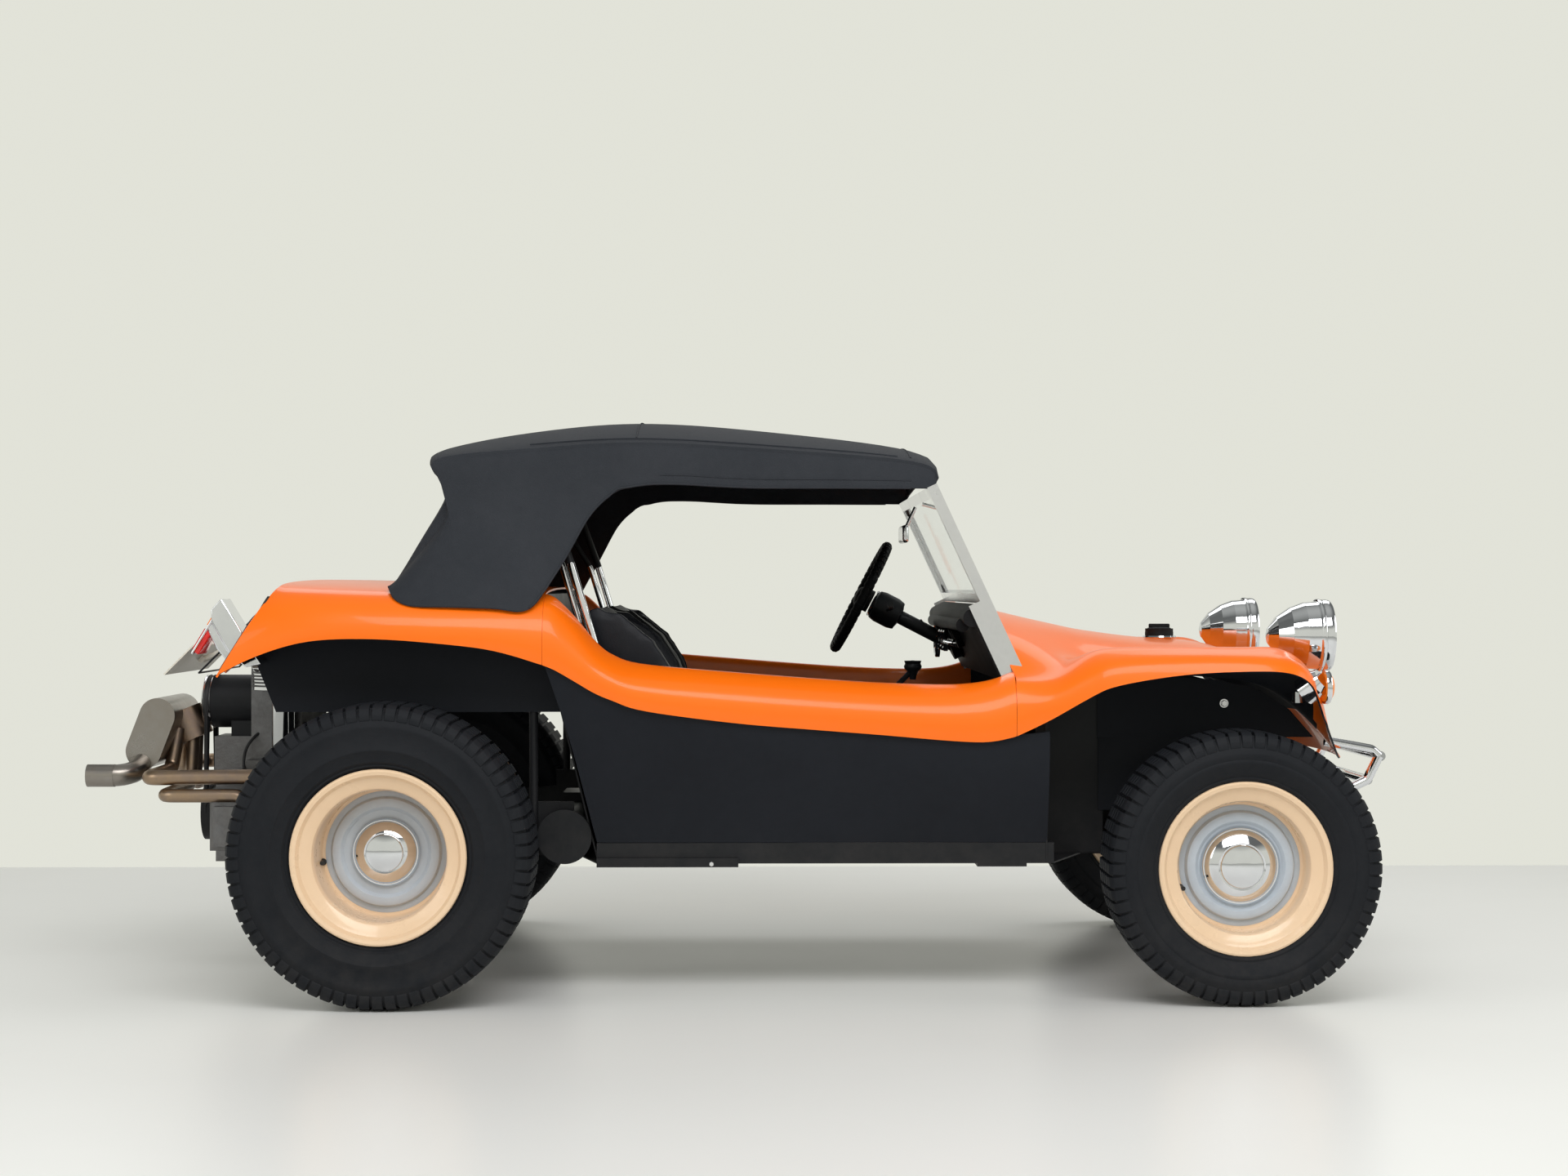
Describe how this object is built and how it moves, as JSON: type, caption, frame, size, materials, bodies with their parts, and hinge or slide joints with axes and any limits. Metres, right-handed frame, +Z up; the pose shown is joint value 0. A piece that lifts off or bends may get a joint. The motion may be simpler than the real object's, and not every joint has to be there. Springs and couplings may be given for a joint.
{
  "type": "dune buggy",
  "caption": "Open two-seat dune buggy with a moulded orange body, black soft top, wide rear tyres, rear engine and linked front steering.",
  "frame": {"origin": "on the ground, at the middle of the overall length and width", "axes": "+X forward, +Y to the left of the car, +Z up"},
  "size_m": [3.32, 1.7, 1.422],
  "materials": {
    "orange_gelcoat": "smooth glossy orange gelcoat",
    "black_tub": "matt black",
    "black_metal": "satin black",
    "black_vinyl": "grained black vinyl",
    "seat_vinyl": "pleated black vinyl",
    "cream_paint": "glossy cream",
    "tyre": "matt black",
    "chrome": "polished",
    "steel": "weathered stainless",
    "alloy": "cast",
    "iron": "machined",
    "glass": "clear",
    "plate": "plain"
  },
  "bodies": {
    "chassis": {"floor_pan": "black_metal", "tub_sides": "black_tub", "footwell": "black_tub", "inner_wings": "black_tub", "firewall": "black_tub", "front_body": "orange_gelcoat", "side_rails": "orange_gelcoat", "rear_body": "orange_gelcoat", "rear_panel": "orange_gelcoat", "dash": "black_vinyl", "windscreen_frame": "chrome", "windscreen": "glass", "soft_top": "black_vinyl", "top_frame": "chrome", "seat_left": "seat_vinyl", "seat_right": "seat_vinyl", "steering_column": "black_metal", "gear_lever": "black_metal", "pedals": "black_metal", "wipers": "black_metal", "front_bumper": "chrome", "headlamps": "chrome", "front_turn_lamps": "chrome", "tail_lamps": "chrome", "number_plate": "plate", "filler_cap": "black_metal", "front_axle": "black_metal", "steering_box": "black_metal", "rear_suspension": "black_metal", "rear_struts": "black_metal", "gearbox": "alloy", "engine": "alloy", "belt_drive": "black_metal", "air_cleaner": "chrome", "headers": "steel", "silencer": "steel"},
    "knuckle_left": {"knuckle_left": "iron"},
    "knuckle_right": {"knuckle_right": "iron"},
    "wheel_front_left": {"tyre_front_left": "tyre", "rim_front_left": "cream_paint"},
    "wheel_front_right": {"tyre_front_right": "tyre", "rim_front_right": "cream_paint"},
    "wheel_rear_left": {"tyre_rear_left": "tyre", "rim_rear_left": "cream_paint"},
    "wheel_rear_right": {"tyre_rear_right": "tyre", "rim_rear_right": "cream_paint"},
    "steering_wheel": {"steering_wheel": "black_metal"},
    "drop_arm": {"drop_arm": "iron"},
    "tie_rod_left": {"tie_rod_left": "iron"},
    "tie_rod_right": {"tie_rod_right": "iron"}
  },
  "joints": [
    {"name": "steer_left", "type": "hinge", "parent": "chassis", "child": "knuckle_left", "pos_m": [1.21, 0.54, 0.326], "axis": [0, 0, 1], "range_deg": [-30, 30]},
    {"name": "steer_right", "type": "hinge", "parent": "chassis", "child": "knuckle_right", "pos_m": [1.21, -0.54, 0.326], "axis": [0, 0, 1], "range_deg": [-30, 30]},
    {"name": "steering_wheel_turn", "type": "hinge", "parent": "chassis", "child": "steering_wheel", "pos_m": [0.347, 0.31, 0.965], "axis": [0.8886, 0, -0.4587], "range_deg": [-420, 420]},
    {"name": "drop_arm_swing", "type": "hinge", "parent": "chassis", "child": "drop_arm", "pos_m": [1.21, 0.31, 0.42], "axis": [0, 0, 1], "range_deg": [-30, 30]},
    {"name": "tie_rod_left_pivot", "type": "hinge", "parent": "drop_arm", "child": "tie_rod_left", "pos_m": [1.32, 0.31, 0.424], "axis": [0, 0, 1], "range_deg": [-30, 30]},
    {"name": "tie_rod_right_pivot", "type": "hinge", "parent": "drop_arm", "child": "tie_rod_right", "pos_m": [1.32, 0.31, 0.442], "axis": [0, 0, 1], "range_deg": [-30, 30]},
    {"name": "wheel_front_left_spin", "type": "hinge", "parent": "knuckle_left", "child": "wheel_front_left", "pos_m": [1.21, 0.698, 0.326], "axis": [0, 1, 0], "continuous": true},
    {"name": "wheel_front_right_spin", "type": "hinge", "parent": "knuckle_right", "child": "wheel_front_right", "pos_m": [1.21, -0.698, 0.326], "axis": [0, 1, 0], "continuous": true},
    {"name": "wheel_rear_left_spin", "type": "hinge", "parent": "chassis", "child": "wheel_rear_left", "pos_m": [-0.83, 0.7225, 0.36], "axis": [0, 1, 0], "continuous": true},
    {"name": "wheel_rear_right_spin", "type": "hinge", "parent": "chassis", "child": "wheel_rear_right", "pos_m": [-0.83, -0.7225, 0.36], "axis": [0, 1, 0], "continuous": true}
  ],
  "couplings": [
    {"joint": "steer_right", "follows": "steer_left", "ratio": 1},
    {"joint": "steering_wheel_turn", "follows": "steer_left", "ratio": -14},
    {"joint": "drop_arm_swing", "follows": "steer_left", "ratio": 1},
    {"joint": "tie_rod_left_pivot", "follows": "steer_left", "ratio": -1},
    {"joint": "tie_rod_right_pivot", "follows": "steer_left", "ratio": -1}
  ]
}
